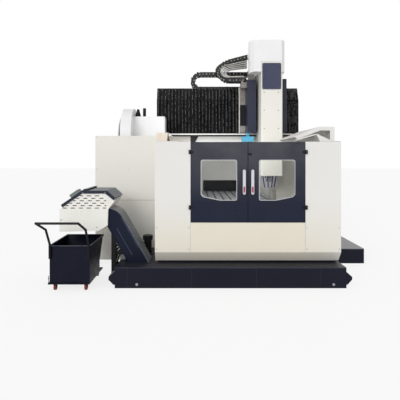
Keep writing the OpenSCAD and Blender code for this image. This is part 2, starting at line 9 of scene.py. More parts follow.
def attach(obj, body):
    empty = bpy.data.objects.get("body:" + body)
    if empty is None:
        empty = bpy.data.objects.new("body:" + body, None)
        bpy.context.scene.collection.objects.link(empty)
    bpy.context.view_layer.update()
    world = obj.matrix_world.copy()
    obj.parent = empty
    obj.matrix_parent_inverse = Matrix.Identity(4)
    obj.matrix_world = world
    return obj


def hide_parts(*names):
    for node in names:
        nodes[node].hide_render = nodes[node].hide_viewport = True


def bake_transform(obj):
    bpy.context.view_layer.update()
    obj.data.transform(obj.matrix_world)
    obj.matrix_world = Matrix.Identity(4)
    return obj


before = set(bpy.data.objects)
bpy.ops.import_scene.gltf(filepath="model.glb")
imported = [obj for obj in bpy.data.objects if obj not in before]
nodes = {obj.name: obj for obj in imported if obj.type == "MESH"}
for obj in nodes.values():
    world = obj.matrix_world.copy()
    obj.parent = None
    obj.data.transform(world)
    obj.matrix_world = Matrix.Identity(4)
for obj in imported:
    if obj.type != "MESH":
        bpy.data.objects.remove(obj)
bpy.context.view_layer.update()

# The photographer stands in front of the left panel, a little under the top of the doors.
# The view is level, and the lens is shifted down and slightly right to take in the floor.
def put(name, data):
    """An object with the given data, linked into the scene."""
    made = bpy.data.objects.new(name, data)
    bpy.context.collection.objects.link(made)
    return made


camera = put("camera", bpy.data.cameras.new("camera"))
camera.location = (-0.848, -6.4, 2.05)
camera.rotation_euler = (math.radians(90), 0, 0)
camera.data.lens = 36
camera.data.sensor_width = 36
camera.data.shift_x = 0.0125
camera.data.shift_y = -0.11
camera.data.clip_end = 200
bpy.context.scene.camera = camera
bpy.context.scene.view_settings.view_transform = "Standard"


# The studio: a white sweep of floor that keeps a soft shadow, a white surround, a broad soft lamp
# at the front left, an even fill from all round and a small work lamp inside the enclosure.
def add(tree, kind, inputs=None, **settings):
    """A new shader node, with its settings and its inputs (values or sockets to join)."""
    made = tree.nodes.new("ShaderNode" + kind)
    for key, value in settings.items():
        setattr(made, key, value)
    for key, value in (inputs or {}).items():
        socket = made.inputs[key]
        if isinstance(value, bpy.types.NodeSocket):
            tree.links.new(value, socket)
        else:
            socket.default_value = value
    return made


def seen_directly(tree):
    """1 for rays from the camera, off metal and through glass, 0 for those that light things."""
    path = add(tree, "LightPath")
    first = add(tree, "Math", {0: path.outputs["Is Camera Ray"],
                1: path.outputs["Is Glossy Ray"]}, operation="MAXIMUM")
    both = add(tree, "Math", {0: first.outputs[0],
               1: path.outputs["Is Transmission Ray"]}, operation="MAXIMUM")
    return both.outputs[0]


def blank(name):
    """A material with an empty node tree, and that tree."""
    made = bpy.data.materials.new(name)
    made.use_nodes = True
    made.node_tree.nodes.clear()
    return made, made.node_tree


surround = bpy.data.worlds.new("surround")
surround.use_nodes = True
bpy.context.scene.world = surround
tree = surround.node_tree
tree.nodes.clear()
fill = add(tree, "Background", {"Color": (1, 0.995, 0.98, 1), "Strength": 0.64})
white = add(tree, "Background", {"Color": (1, 1, 1, 1), "Strength": 1.0})
mixed = add(tree, "MixShader", {0: seen_directly(tree), 1: fill.outputs[0], 2: white.outputs[0]})
add(tree, "OutputWorld", {"Surface": mixed.outputs[0]})

floor_white, tree = blank("floor_white")
matt = add(tree, "BsdfDiffuse", {"Color": (0.93, 0.93, 0.94, 1)})
glow = add(tree, "Emission", {"Color": (1, 1, 1, 1), "Strength": 1.0})
share = add(tree, "Math", {0: seen_directly(tree), 1: 0.8}, operation="MULTIPLY")
mixed = add(tree, "MixShader", {0: share.outputs[0], 1: matt.outputs[0], 2: glow.outputs[0]})
add(tree, "OutputMaterial", {"Surface": mixed.outputs[0]})
near_y, far_y, half_wide = -20, 60, 40
floor_mesh = bpy.data.meshes.new("studio_floor")
floor_mesh.from_pydata([(-half_wide, near_y, 0), (half_wide, near_y, 0), (half_wide, far_y, 0),
                        (-half_wide, far_y, 0)], [], [(0, 1, 2, 3)])
floor_mesh.materials.append(floor_white)
studio_floor = put("studio_floor", floor_mesh)

key_lamp = put("key_lamp", bpy.data.lights.new("key_lamp", "SUN"))
key_lamp.data.energy = 1.25
key_lamp.data.angle = math.radians(35)
towards_lamp = Vector((-0.42, -0.9, 0.4))
key_lamp.rotation_euler = towards_lamp.to_track_quat("Z", "Y").to_euler()
work_lamp = put("work_lamp", bpy.data.lights.new("work_lamp", "AREA"))
work_lamp.data.energy = 22
work_lamp.data.shape = "RECTANGLE"
work_lamp.data.size = 1.1
work_lamp.data.size_y = 0.6
work_lamp.location = (-0.75, 0.45, 2.2)
work_lamp.rotation_euler = (math.radians(55), 0, 0)


# The bed, the columns and the crossbeam are grey iron castings, shot-blasted, filled and sprayed
# with a light grey enamel that is a little thin in patches.
def effect(name, inputs, outputs):
    """An empty node group with its inputs and outputs; returns its tree, entry and exit."""
    group = bpy.data.node_groups.new(name, "ShaderNodeTree")
    for label, kind, value in inputs:
        socket = group.interface.new_socket(label, in_out="INPUT", socket_type=kind)
        socket.default_value = value
    for label, kind in outputs:
        group.interface.new_socket(label, in_out="OUTPUT", socket_type=kind)
    return group, group.nodes.new("NodeGroupInput"), group.nodes.new("NodeGroupOutput")


COLOUR, NUMBER = "NodeSocketColor", "NodeSocketFloat"
enamel, entry, leave = effect("sprayed_enamel", [
    ("Paint", COLOUR, (0.8, 0.8, 0.8, 1)), ("Thin paint", COLOUR, (0.7, 0.7, 0.7, 1)),
    ("Dust", COLOUR, (0.5, 0.48, 0.45, 1)), ("Patch size", NUMBER, 1.5),
    ("Dust share", NUMBER, 0.2), ("Peel size", NUMBER, 350), ("Sheen low", NUMBER, 0.35),
    ("Sheen high", NUMBER, 0.5)],
    [("Colour", COLOUR), ("Roughness", NUMBER), ("Height", NUMBER)])
place = add(enamel, "TexCoord")
patches = add(enamel, "TexNoise", {"Vector": place.outputs["Object"],
              "Scale": entry.outputs["Patch size"], "Detail": 5, "Roughness": 0.6})
patch_mask = add(enamel, "MapRange", {"Value": patches.outputs[0], 1: 0.4, 2: 0.68})
coat = add(enamel, "Mix", {0: patch_mask.outputs[0], 6: entry.outputs["Paint"],
           7: entry.outputs["Thin paint"]}, data_type="RGBA")
facing = add(enamel, "NewGeometry")
upward = add(enamel, "SeparateXYZ", {0: facing.outputs["True Normal"]})
on_top = add(enamel, "MapRange", {"Value": upward.outputs["Z"], 1: 0.6, 2: 0.98})
specks = add(enamel, "TexNoise", {"Vector": place.outputs["Object"], "Scale": 14.0,
             "Detail": 8, "Roughness": 0.7})
settled = add(enamel, "Math", {0: on_top.outputs[0], 1: specks.outputs[0]}, operation="MULTIPLY")
dust_mask = add(enamel, "Math", {0: settled.outputs[0],
                1: entry.outputs["Dust share"]}, operation="MULTIPLY")
dusted = add(enamel, "Mix", {0: dust_mask.outputs[0], 6: coat.outputs[2],
             7: entry.outputs["Dust"]}, data_type="RGBA")
peel = add(enamel, "TexNoise", {"Vector": place.outputs["Object"],
           "Scale": entry.outputs["Peel size"], "Detail": 2})
sheen = add(enamel, "MapRange", {"Value": specks.outputs[0], 1: 0.3, 2: 0.7,
            3: entry.outputs["Sheen low"], 4: entry.outputs["Sheen high"]})
enamel.links.new(dusted.outputs[2], leave.inputs["Colour"])
enamel.links.new(sheen.outputs[0], leave.inputs["Roughness"])
enamel.links.new(peel.outputs[0], leave.inputs["Height"])


def rgb(red, green, blue):
    """A colour from its 0 to 255 values on a screen, as Blender's linear one."""
    return tuple((c / 255 / 12.92 if c / 255 < 0.04045 else ((c / 255 + 0.055) / 1.055) ** 2.4)
                 for c in (red, green, blue)) + (1,)


def sprayed(name, paint, thin, sheen=(0.35, 0.5), patch=1.5, dust=0.2, peel=350, bump=0.0002,
            gloss=0.35):
    """A sprayed enamel, with faint patches, dust on its top faces and orange peel."""
    made, tree = blank(name)
    look = add(tree, "Group", node_tree=enamel)
    for label, value in {"Paint": paint, "Thin paint": thin, "Patch size": patch,
                         "Dust share": dust, "Peel size": peel, "Sheen low": sheen[0],
                         "Sheen high": sheen[1]}.items():
        look.inputs[label].default_value = value
    lumps = add(tree, "Bump", {"Height": look.outputs["Height"], "Strength": 0.5,
                               "Distance": bump})
    body = add(tree, "BsdfPrincipled", {"Base Color": look.outputs["Colour"],
               "Roughness": look.outputs["Roughness"], "Normal": lumps.outputs[0],
               "Specular IOR Level": gloss})
    add(tree, "OutputMaterial", {"Surface": body.outputs[0]})
    made["look"] = look.name
    return made


def finish_as(made, *names):
    """Gives CAD nodes their finish."""
    for name in names:
        mesh = nodes[name].data
        mesh.materials.clear()
        mesh.materials.append(made)


casting_grey = sprayed("casting_grey", rgb(206, 204, 197), rgb(196, 194, 187), patch=0.9, peel=60,
                       bump=0.0012, dust=0.3)
finish_as(casting_grey, "bed", "columns", "crossbeam")


# The table's ways and the crossbeam's rails are steel, ground along their length and left oiled;
# the levelling feet and the spindle nose are turned.
def ground(name, colour, along="Y", rough=(0.22, 0.4), lines=260, shade_below=None):
    """Ground steel or iron: fine lines along one axis, oil in patches, painted shade below a
    height.
    """
    made, tree = blank(name)
    place = add(tree, "TexCoord")
    stretch = {"X": (3, lines, lines), "Y": (lines, 3, lines), "Z": (lines, lines, 3)}[along]
    mapped = add(tree, "Mapping", {"Vector": place.outputs["Object"], "Scale": stretch})
    lines_noise = add(tree, "TexNoise", {"Vector": mapped.outputs[0], "Scale": 1.0, "Detail": 3})
    oil = add(tree, "TexNoise", {"Vector": place.outputs["Object"], "Scale": 5.0, "Detail": 6})
    darker = tuple(c * 0.62 for c in colour[:3]) + (1,)
    tint = add(tree, "Mix", {0: oil.outputs[0], 6: colour, 7: darker}, data_type="RGBA")
    # Painted shade: below the given height the colour turns near black, as in the shade of slots.
    if shade_below:
        axes = add(tree, "SeparateXYZ", {0: place.outputs["Object"]})
        depth = add(tree, "MapRange", {"Value": axes.outputs["Z"], 1: shade_below - 0.003,
                    2: shade_below - 0.001})
        tint = add(tree, "Mix", {0: depth.outputs[0], 6: rgb(28, 28, 30),
                   7: tint.outputs[2]}, data_type="RGBA")
    rough_map = add(tree, "MapRange", {"Value": oil.outputs[0], 1: 0.3, 2: 0.7,
                    3: rough[0], 4: rough[1]})
    scratches = add(tree, "Bump", {"Height": lines_noise.outputs[0], "Strength": 0.35,
                                   "Distance": 0.0002})
    body = add(tree, "BsdfPrincipled", {"Base Color": tint.outputs[2], "Metallic": 0.9,
               "Roughness": rough_map.outputs[0], "Normal": scratches.outputs[0]})
    add(tree, "OutputMaterial", {"Surface": body.outputs[0]})
    return made


finish_as(ground("ground_ways", rgb(190, 192, 196)), "bed_ways")
finish_as(ground("ground_rails", rgb(196, 198, 202), along="X"), "beam_rails")
finish_as(ground("turned_steel", rgb(188, 190, 194), along="Z"), "levelling_feet", "spindle")


# The coolant tank under the front and the side tank are welded from steel plate, sprayed in navy
# semi-gloss enamel. A lighter strip along the top edge is a painted highlight; weld lines between
# the plates, in the same lighter paint, and two drain plugs show.
def new_piece(name, shape, body, slot, *finishes):
    """A bmesh as an object with its materials; it rides on the body, if one is given. The slot is
    not used.
    """
    mesh = bpy.data.meshes.new(name)
    shape.to_mesh(mesh)
    shape.free()
    made = put(name, mesh)
    for finish in finishes:
        mesh.materials.append(finish)
    if body:
        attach(made, body)
    return made


def add_box(shape, centre, size, turn=None, finish=0, bevel=0.0):
    """A block into a bmesh, its edges softened by a bevel, turned by a matrix."""
    made = bmesh.ops.create_cube(shape, size=1.0)
    verts = made["verts"]
    bmesh.ops.scale(shape, vec=size, verts=verts)
    faces = {face for vert in verts for face in vert.link_faces}
    if bevel:
        edges = {edge for vert in verts for edge in vert.link_edges}
        round_off = bmesh.ops.bevel(shape, geom=list(edges), offset=bevel, segments=1,
                                    affect="EDGES")
        verts = list({vert for face in round_off["faces"] for vert in face.verts} | set(
            vert for vert in verts if vert.is_valid))
        faces = {face for vert in verts for face in vert.link_faces}
    for face in faces:
        face.material_index = finish
    if turn:
        bmesh.ops.transform(shape, matrix=turn, verts=verts)
    bmesh.ops.translate(shape, vec=centre, verts=verts)


def add_disc(shape, centre, axis, radius, depth, sides=12, finish=0, tip=None):
    """A short round bar centred on a point along an axis; tip narrows its outer end."""
    made = bmesh.ops.create_cone(shape, cap_ends=True, segments=sides, radius1=radius,
                                 radius2=radius if tip is None else tip, depth=depth)
    faces = {face for vert in made["verts"] for face in vert.link_faces}
    for face in faces:
        face.material_index = finish
        face.smooth = len(face.verts) == 4
    turn = Vector((0, 0, 1)).rotation_difference(Vector(axis)).to_matrix().to_4x4()
    bmesh.ops.transform(shape, matrix=Matrix.Translation(centre) @ turn, verts=made["verts"])


tank_navy = sprayed("tank_navy", rgb(11, 14, 30), rgb(15, 18, 34), sheen=(0.34, 0.5), patch=1.1,
                    dust=0.06, bump=0.00015, gloss=0.18)
finish_as(tank_navy, "front_tank", "side_tank")
cover_grey = sprayed("cover_grey", rgb(96, 101, 108), rgb(78, 82, 90), sheen=(0.3, 0.5), dust=0.5)
finish_as(cover_grey, "side_tank_lid")
highlight_and_weld_navy = sprayed("highlight_and_weld_navy", rgb(50, 54, 72), rgb(40, 44, 60), sheen=(0.3, 0.42), patch=4,
                    gloss=0.3)
tank_face_y, tank_middle_x, tank_long, tank_edge_z = -0.2, -0.2965, 3.58, 0.315
weld_z, weld_high, weld_wide, drain_z = 0.16, 0.3, 0.003, 0.06
shape = bmesh.new()
# Painted highlight: a lighter strip along the top front edge of the tank.
add_box(shape, (tank_middle_x, tank_face_y - 0.0012, tank_edge_z), (tank_long, 0.0024, 0.01),
        bevel=0.001)
for x in (-1.9, -0.9, 0.1, 1.1):
    add_box(shape, (x, tank_face_y - weld_wide / 2, weld_z), (weld_wide, weld_wide, weld_high))
new_piece("tank_edge_highlight_and_welds", shape, "frame", "navy_paint", highlight_and_weld_navy)
screw_zinc = ground("screw_zinc", rgb(176, 176, 180), along="Z", rough=(0.25, 0.4))
shape = bmesh.new()
for x in (1.3, -1.75):
    add_disc(shape, (x, tank_face_y - 0.003, drain_z), (0, -1, 0), 0.022, 0.012, sides=6)
new_piece("drain_plugs", shape, "frame", "ground_steel", screw_zinc)


# The conveyor's incline is a navy sheet trough at 60 degrees, stiffened by three welded strips, two
# of them a lighter blue; its grey top cover is screwed down at both edges.
def strip(shape, start, end, width, thick, finish=0):
    """A flat bar between two points in a front plane, its face to the front."""
    start, end = Vector(start), Vector(end)
    along = end - start
    turn = Matrix.Rotation(-math.atan2(along.z, along.x), 4, "Y")
    add_box(shape, (start + end) / 2, (along.length, thick, width), turn, finish=finish,
            bevel=min(thick, width) * 0.25)


slope = math.radians(60)
foot_x, foot_z = -2.278, 0.915


def on_incline(along, above):
    """A point of the conveyor's side: along its slope, above its lower edge."""
    return (foot_x + along * math.cos(slope) + above * math.sin(slope),
            foot_z - along * math.sin(slope) + above * math.cos(slope))


conveyor_navy = sprayed("conveyor_navy", rgb(17, 24, 44), rgb(13, 19, 36), sheen=(0.34, 0.5),
                        patch=2.2, dust=0.08, gloss=0.15)
finish_as(conveyor_navy, "conveyor_incline")
finish_as(cover_grey, "conveyor_cover")
lip_blue = sprayed("lip_blue", rgb(62, 72, 96), rgb(48, 56, 78), sheen=(0.3, 0.45), patch=5,
                   gloss=0.3)
strip_y, strip_wide, strip_thick = 0.0965, 0.012, 0.007
shape = bmesh.new()
for above, first, last in ((0.012, 0.02, 0.68), (0.268, 0.0, 0.56), (0.12, 0.12, 0.62)):
    x0, z0 = on_incline(first, above)
    x1, z1 = on_incline(last, above)
    strip(shape, (x0, strip_y, z0), (x1, strip_y, z1), strip_wide, strip_thick,
          1 if above > 0.1 else 0)
for along in (0.06, 0.3, 0.54):
    x, z = on_incline(along, 0.2)
    add_disc(shape, (x, strip_y + 0.0015, z), (0, -1, 0), 0.011, 0.007, sides=6)
new_piece("conveyor_side_strips", shape, "frame", "navy_paint", conveyor_navy, lip_blue)
cover_top, cover_edges_y = 0.2955, (0.105, 0.475)
shape = bmesh.new()
normal = Vector((math.sin(slope), 0, math.cos(slope)))
for along in (0.05, 0.2, 0.35, 0.5, 0.62):
    for y in cover_edges_y:
        x, z = on_incline(along, cover_top)
        add_disc(shape, Vector((x, y, z)) + normal * 0.002, normal, 0.009, 0.006)
new_piece("conveyor_cover_screws", shape, "frame", "ground_steel", screw_zinc)


# The conveyor's gear motors are cast and painted grey-green, the upper one with a ribbed cover. Its
# post and the coolant pump are satin black; the pump's cowl is ribbed and has a cap.
motor_green = sprayed("motor_green", rgb(128, 138, 136), rgb(108, 117, 116), peel=120, bump=0.0006)
satin_black = sprayed("satin_black", rgb(15, 15, 18), rgb(24, 24, 28), sheen=(0.38, 0.55),
                      dust=0.12, gloss=0.2)
finish_as(motor_green, "conveyor_motors")
finish_as(satin_black, "conveyor_post", "coolant_pump")
shape = bmesh.new()
motor_middle, motor_tilt = Vector((-2.822, 0.3, 1.3907)), math.radians(-34.3)
tilt = Matrix.Rotation(motor_tilt, 4, "Y")
rib_pitch, cover_rise = 0.022, 0.0715
for count in range(-3, 4):
    add_box(shape, motor_middle + tilt @ Vector((rib_pitch * count, 0, cover_rise)),
            (0.006, 0.14, 0.003), tilt)
new_piece("hood_motor_ribs", shape, "frame", "motor_paint", motor_green)
pump_x, pump_y, cowl_z, cowl_r, cowl_ribs = -1.69, 0.74, 0.6, 0.0865, 16
shape = bmesh.new()
for count in range(cowl_ribs):
    angle = math.radians(360 / cowl_ribs * count)
    add_box(shape, Vector((pump_x + cowl_r * math.cos(angle), pump_y + cowl_r * math.sin(angle),
                           cowl_z)), (0.004, 0.008, 0.06), Matrix.Rotation(angle, 4, "Z"))
add_disc(shape, (pump_x, pump_y, cowl_z + 0.0405), (0, 0, 1), 0.05, 0.004, sides=24)
new_piece("pump_cowl_ribs", shape, "frame", "black_steel", satin_black)


# The discharge hood is a folded sheet box in ivory powder coat, with its slots punched through.
# Its lid is folded navy sheet; grey perforated sheet on its top and right slope lets air out.
def screws(name, body, axis, points, radius=0.008, depth=0.005):
    """Button-head screws, each with a dark hexagon painted on its head as the shade in its socket.
    """
    shape = bmesh.new()
    for point in points:
        add_disc(shape, Vector(point) + Vector(axis) * depth * 0.4, axis, radius, depth, sides=14,
                 tip=radius * 0.7)
        add_disc(shape, Vector(point) + Vector(axis) * depth * 0.91, axis, radius * 0.42, 0.0004,
                 sides=6, finish=1)
    new_piece(name, shape, body, "ground_steel", screw_zinc, satin_black)


hood_ivory = sprayed("hood_ivory", rgb(238, 237, 231), rgb(231, 229, 222), sheen=(0.42, 0.55))
lid_navy = sprayed("lid_navy", rgb(26, 31, 47), rgb(34, 39, 54), sheen=(0.3, 0.45), dust=0.3,
                   gloss=0.25)
finish_as(hood_ivory, "discharge_hood")
finish_as(lid_navy, "hood_lid")
face_y, brow_y = 0.05, 0.038
screws("hood_screws", "frame", (0, -1, 0), [(-3.005, face_y, 1.02), (-3.005, face_y, 0.96),
       (-2.66, brow_y, 1.46), (-2.3, brow_y, 1.46), (-2.43, face_y, 0.9)], 0.01, 0.007)
perforated_grey, tree = blank("perforated_grey")
place = add(tree, "TexCoord")
holes_per_metre = 38
cells = add(tree, "Mapping", {"Vector": place.outputs["Object"], "Scale": [holes_per_metre] * 3})
holes = add(tree, "TexVoronoi", {"Vector": cells.outputs[0], "Scale": 1.0, "Randomness": 0.0})
# Painted shade: each hole is painted near black, the shade seen through it.
hole_mask = add(tree, "MapRange", {"Value": holes.outputs["Distance"], 1: 0.28, 2: 0.36})
grime = add(tree, "TexNoise", {"Vector": place.outputs["Object"], "Scale": 12.0, "Detail": 6})
sheet_grey = add(tree, "Mix", {0: grime.outputs[0], 6: rgb(118, 124, 132),
                 7: rgb(92, 98, 106)}, data_type="RGBA")
pierced = add(tree, "Mix", {0: hole_mask.outputs[0], 6: rgb(30, 32, 38),
              7: sheet_grey.outputs[2]}, data_type="RGBA")
dimples = add(tree, "Bump", {"Height": hole_mask.outputs[0], "Strength": 0.6, "Distance": 0.001})
body = add(tree, "BsdfPrincipled", {"Base Color": pierced.outputs[2], "Roughness": 0.45,
           "Metallic": 0.3, "Normal": dimples.outputs[0]})
add(tree, "OutputMaterial", {"Surface": body.outputs[0]})
sheet_y, sheet_deep, sheet_thick = 0.375, 0.66, 0.0024
shape = bmesh.new()
start, end = Vector((-2.262, 0, 1.491)), Vector((-2.132, 0, 1.372))
along = (end - start).normalized()
outward = Vector((-along.z, 0, along.x))
turn = Matrix.Rotation(-math.atan2(along.z, along.x), 4, "Y")
add_box(shape, (start + end) / 2 + outward * sheet_thick / 2 + Vector((0, sheet_y, 0)),
        ((end - start).length - 0.006, sheet_deep, sheet_thick), turn)
add_box(shape, (-2.431, sheet_y, 1.4922), (0.325, sheet_deep, sheet_thick))
new_piece("hood_lid_mesh", shape, "frame", "grey_cover", perforated_grey)


# Three black coolant hoses bend from a valve block on the tank over to its lid by the pump, and
# four pipes loop from the tank's left end up to its lid. All are ribbed rubber.
def ribbed_tube(shape, points, radius, rib, sides=8):
    """A corrugated tube along points, its radius swelling at every other ring."""
    rings = []
    for index, point in enumerate(points):
        ahead = Vector(points[min(index + 1, len(points) - 1)])
        behind = Vector(points[max(index - 1, 0)])
        along = (ahead - behind).normalized()
        side = along.cross(Vector((0, 1, 0)))
        side = side.normalized() if side.length > 0.01 else Vector((1, 0, 0))
        up = side.cross(along)
        wide = radius + (rib if index % 2 else 0.0)
        ring = []
        for k in range(sides):
            t = 2 * math.pi * k / sides
            outward = side * math.cos(t) + up * math.sin(t)
            ring.append(shape.verts.new(Vector(point) + outward * wide))
        rings.append(ring)
    for first, second in zip(rings, rings[1:]):
        for k in range(sides):
            face = shape.faces.new((first[k], first[(k + 1) % sides], second[(k + 1) % sides],
                                    second[k]))
            face.smooth = True
    for ring in (rings[0], rings[-1][::-1]):
        shape.faces.new(ring[::-1])


def smooth_line(points, steps):
    """Points along a smooth curve (Catmull-Rom) through the given ones."""
    line = []
    stops = [Vector(p) for p in points]
    stops = [2 * stops[0] - stops[1]] + stops + [2 * stops[-1] - stops[-2]]
    for a, b, c, d in zip(stops, stops[1:], stops[2:], stops[3:]):
        for k in range(steps):
            t = k / steps
            line.append(0.5 * ((2 * b) + (c - a) * t + (2 * a - 5 * b + 4 * c - d) * t * t
                               + (3 * b - a - 3 * c + d) * t ** 3))
    line.append(stops[-2])
    return line


cable_black = sprayed("cable_black", rgb(16, 16, 17), rgb(28, 28, 30), patch=20, gloss=0.25)
lid_z, hose_r, pipe_r, valve_x = 0.322, 0.013, 0.014, -2.0
shape = bmesh.new()
add_box(shape, (valve_x, 0.62, 0.365), (0.14, 0.1, 0.088), bevel=0.006)
for count, (x, y) in enumerate(((-2.04, 0.6), (-2.0, 0.6), (-1.96, 0.62))):
    far = x + 0.03 * count
    ribbed_tube(shape, smooth_line([(x, y, 0.4), (x, y, 0.47), (x - 0.02, y - 0.01, 0.56),
                (x + 0.05, y + 0.02, 0.62), (x + 0.16, y + 0.04, 0.56), (far + 0.2, y + 0.05, 0.43),
                (far + 0.21, y + 0.05, lid_z)], 7), hose_r, 0.001)
new_piece("tank_hoses", shape, "frame", "black_steel", cable_black)
shape = bmesh.new()
for y, radius, long, sides in ((0.568, 0.03, 0.005, 20), (0.561, 0.012, 0.012, 8)):
    add_disc(shape, (valve_x, y, 0.37), (0, -1, 0), radius, long, sides=sides)
new_piece("valve_cap", shape, "frame", "ground_steel", screw_zinc)
shape = bmesh.new()
for count in range(4):
    x, y = -2.13 - 0.034 * count, 0.34 + 0.05 * count
    low, rise = 0.1 + 0.04 * count, 0.03 * count
    ribbed_tube(shape, smooth_line([(-2.0955, y, low), (x + 0.005, y, low),
                (x - 0.03, y + 0.01, 0.2 + rise), (x - 0.01, y + 0.03, 0.34 + rise),
                (x + 0.05, y + 0.05, 0.42 + rise), (-2.03, y + 0.06, 0.4 + 0.02 * count),
                (-2.0 + 0.01 * count, y + 0.07, lid_z)], 7), pipe_r, 0.001)
new_piece("tank_pipes", shape, "frame", "black_steel", cable_black)


# The enclosure is folded from sheet steel: ivory powder coat, a warmer beige below the doors. Its
# seams are closed with grey sealant and its sheets held by button-head screws. The left roof guard
# ends in a cream plate, a little brighter than the ivory as a painted highlight, with a brown wedge
# behind it that is a painted shadow in the gap there.
def repaint(made, low, high, z0, z1, soft=0.002):
    """Blends a sprayed material's paint from one colour at height z0 to another at z1."""
    tree = made.node_tree
    look = tree.nodes[made["look"]]
    place = add(tree, "TexCoord")
    axes = add(tree, "SeparateXYZ", {0: place.outputs["Object"]})
    share = add(tree, "MapRange", {"Value": axes.outputs["Z"], 1: z0 - soft, 2: z1 + soft})
    blend = add(tree, "Mix", {0: share.outputs[0], 6: low, 7: high}, data_type="RGBA")
    tree.links.new(blend.outputs[2], look.inputs["Paint"])
    return made


ivory_coat = sprayed("ivory_coat", rgb(231, 230, 228), rgb(226, 225, 221), sheen=(0.42, 0.55),
                     dust=0.12, peel=500)
panel_ivory = repaint(sprayed("panel_ivory", rgb(231, 230, 228), rgb(227, 226, 222),
                              sheen=(0.4, 0.52), patch=0.6, dust=0.12, peel=500),
                      rgb(228, 223, 210), rgb(231, 230, 228), 0.7, 1.4)
apron_beige = sprayed("apron_beige", rgb(229, 223, 208), rgb(226, 219, 203), sheen=(0.4, 0.52),
                      patch=0.7, dust=0.12, peel=500)
finish_as(panel_ivory, "left_front_panel", "right_front_panel")
finish_as(apron_beige, "front_apron")
finish_as(ivory_coat, "side_walls", "rear_wall", "roof_guards")
sealant_grey = sprayed("sealant_grey", rgb(158, 156, 150), rgb(132, 130, 124), sheen=(0.5, 0.7),
                       patch=14)
apron_side, apron_middle_z, apron_high, rear_y = 0.921, 0.745, 0.47, 4.34
cabinet_middle_x, cabinet_wide, cabinet_seam_z = -2.116, 1.25, 1.212
shape = bmesh.new()
add_box(shape, (cabinet_middle_x, 1.199, cabinet_seam_z), (cabinet_wide, 0.003, 0.005))
for x in (-apron_side, apron_side):
    add_box(shape, (x, -0.0006, apron_middle_z), (0.0025, 0.002, apron_high))
new_piece("panel_seams", shape, "frame", "ivory_paint", sealant_grey)
screws("apron_screws", "frame", (0, -1, 0),
       [(side * x, 0, z) for side in (-1, 1) for x in (0.945, 1.46) for z in (0.56, 0.9)])
screws("rear_wall_screws", "frame", (0, 1, 0),
       [(x, rear_y, z) for x in (-1.46, 0.0, 1.46) for z in (0.16, 0.8, 1.45, 2.1, 2.24)], 0.009,
       0.0008)


def plate(shape, outline, y0, y1, finish=0):
    """A flat plate with the given front outline (X, Z), from y0 to y1."""
    front = [shape.verts.new((x, y0, z)) for x, z in outline]
    back = [shape.verts.new((x, y1, z)) for x, z in outline]
    faces = [shape.faces.new(front), shape.faces.new(back[::-1])]
    for k in range(len(outline)):
        n = (k + 1) % len(outline)
        faces.append(shape.faces.new((front[k], back[k], back[n], front[n])))
    for face in faces:
        face.material_index = finish
    bmesh.ops.recalc_face_normals(shape, faces=faces)


plate_cream_highlight = sprayed("plate_cream_highlight", rgb(240, 230, 218), rgb(232, 218, 202), dust=0.1, patch=4)
gap_shadow_brown = sprayed("gap_shadow_brown", rgb(104, 84, 72), rgb(78, 62, 54), sheen=(0.5, 0.7),
                       patch=10, gloss=0.2)
# Painted highlight on the cream end plate and painted shadow on the brown wedge behind it.
shape = bmesh.new()
guard_foot_z, guard_top_z = 2.282, 2.44
plate(shape, [(-1.49, guard_foot_z), (-1.318, guard_foot_z), (-1.302, guard_top_z),
              (-1.49, guard_top_z)], 0.294, 0.299)
plate(shape, [(-1.318, guard_foot_z), (-1.262, 2.29), (-1.29, 2.35), (-1.303, 2.43)], 0.3, 0.42, 1)
new_piece("left_guard_end", shape, "frame", "ivory_paint", plate_cream_highlight, gap_shadow_brown)
gasket_rubber = sprayed("gasket_rubber", rgb(18, 18, 20), rgb(26, 26, 28), sheen=(0.5, 0.7),
                        patch=12, gloss=0.2)
shape = bmesh.new()
for x, wide in ((1.155, 0.7), (-1.2, 0.5)):
    add_box(shape, (x, 0.07, guard_foot_z + 0.0005), (wide, 0.02, 0.004))
new_piece("roof_seals", shape, "frame", "black_steel", gasket_rubber)


# The side cabinet is ivory sheet, a little greyer towards the floor. The tool magazine on it has a
# white cover and a white box, screwed on, and a black gripper that reaches for the tools.
cabinet_ivory = repaint(sprayed("cabinet_ivory", rgb(233, 232, 224), rgb(228, 226, 217),
                                sheen=(0.42, 0.55), patch=0.5, dust=0.15),
                        rgb(225, 223, 218), rgb(234, 233, 225), 0.3, 2.2)
finish_as(cabinet_ivory, "side_cabinet")
magazine_white = sprayed("magazine_white", rgb(238, 238, 240), rgb(230, 230, 232),
                         sheen=(0.38, 0.5), dust=0.1)
finish_as(magazine_white, "tool_magazine", "magazine_box")
finish_as(satin_black, "tool_gripper")
cabinet_y, magazine_y = 1.2, 1.8
screws("magazine_screws", "frame", (0, -1, 0),
       [(x, magazine_y, z) for x in (-2.085, -1.79, -1.495) for z in (2.46, 2.835)], 0.007)
screws("cabinet_screws", "frame", (0, -1, 0),
       [(x, cabinet_y, z) for x in (-2.715, -2.1, -1.53) for z in (1.245, 1.8, 2.405)], 0.007)


# Each door is a folded sheet leaf in navy enamel on black hinges, blended to a pale grey towards
# its top as a painted reflection. A silver lip with a rubber seal holds its safety pane, rubber
# lies along its edges, and its brushed pull has a red inlay. The right leaf has a latch knob.
door_navy_painted_reflection = repaint(sprayed("door_navy_painted_reflection", rgb(46, 49, 66), rgb(30, 33, 50), sheen=(0.26, 0.36),
                            patch=0.4, dust=0.1, peel=420, bump=0.00008, gloss=0.22),
                    rgb(16, 23, 46), rgb(92, 94, 98), 1.3, 2.4)
finish_as(door_navy_painted_reflection, "left_door", "right_door")
finish_as(satin_black, "hinge_blocks", "left_knuckles", "right_knuckles")

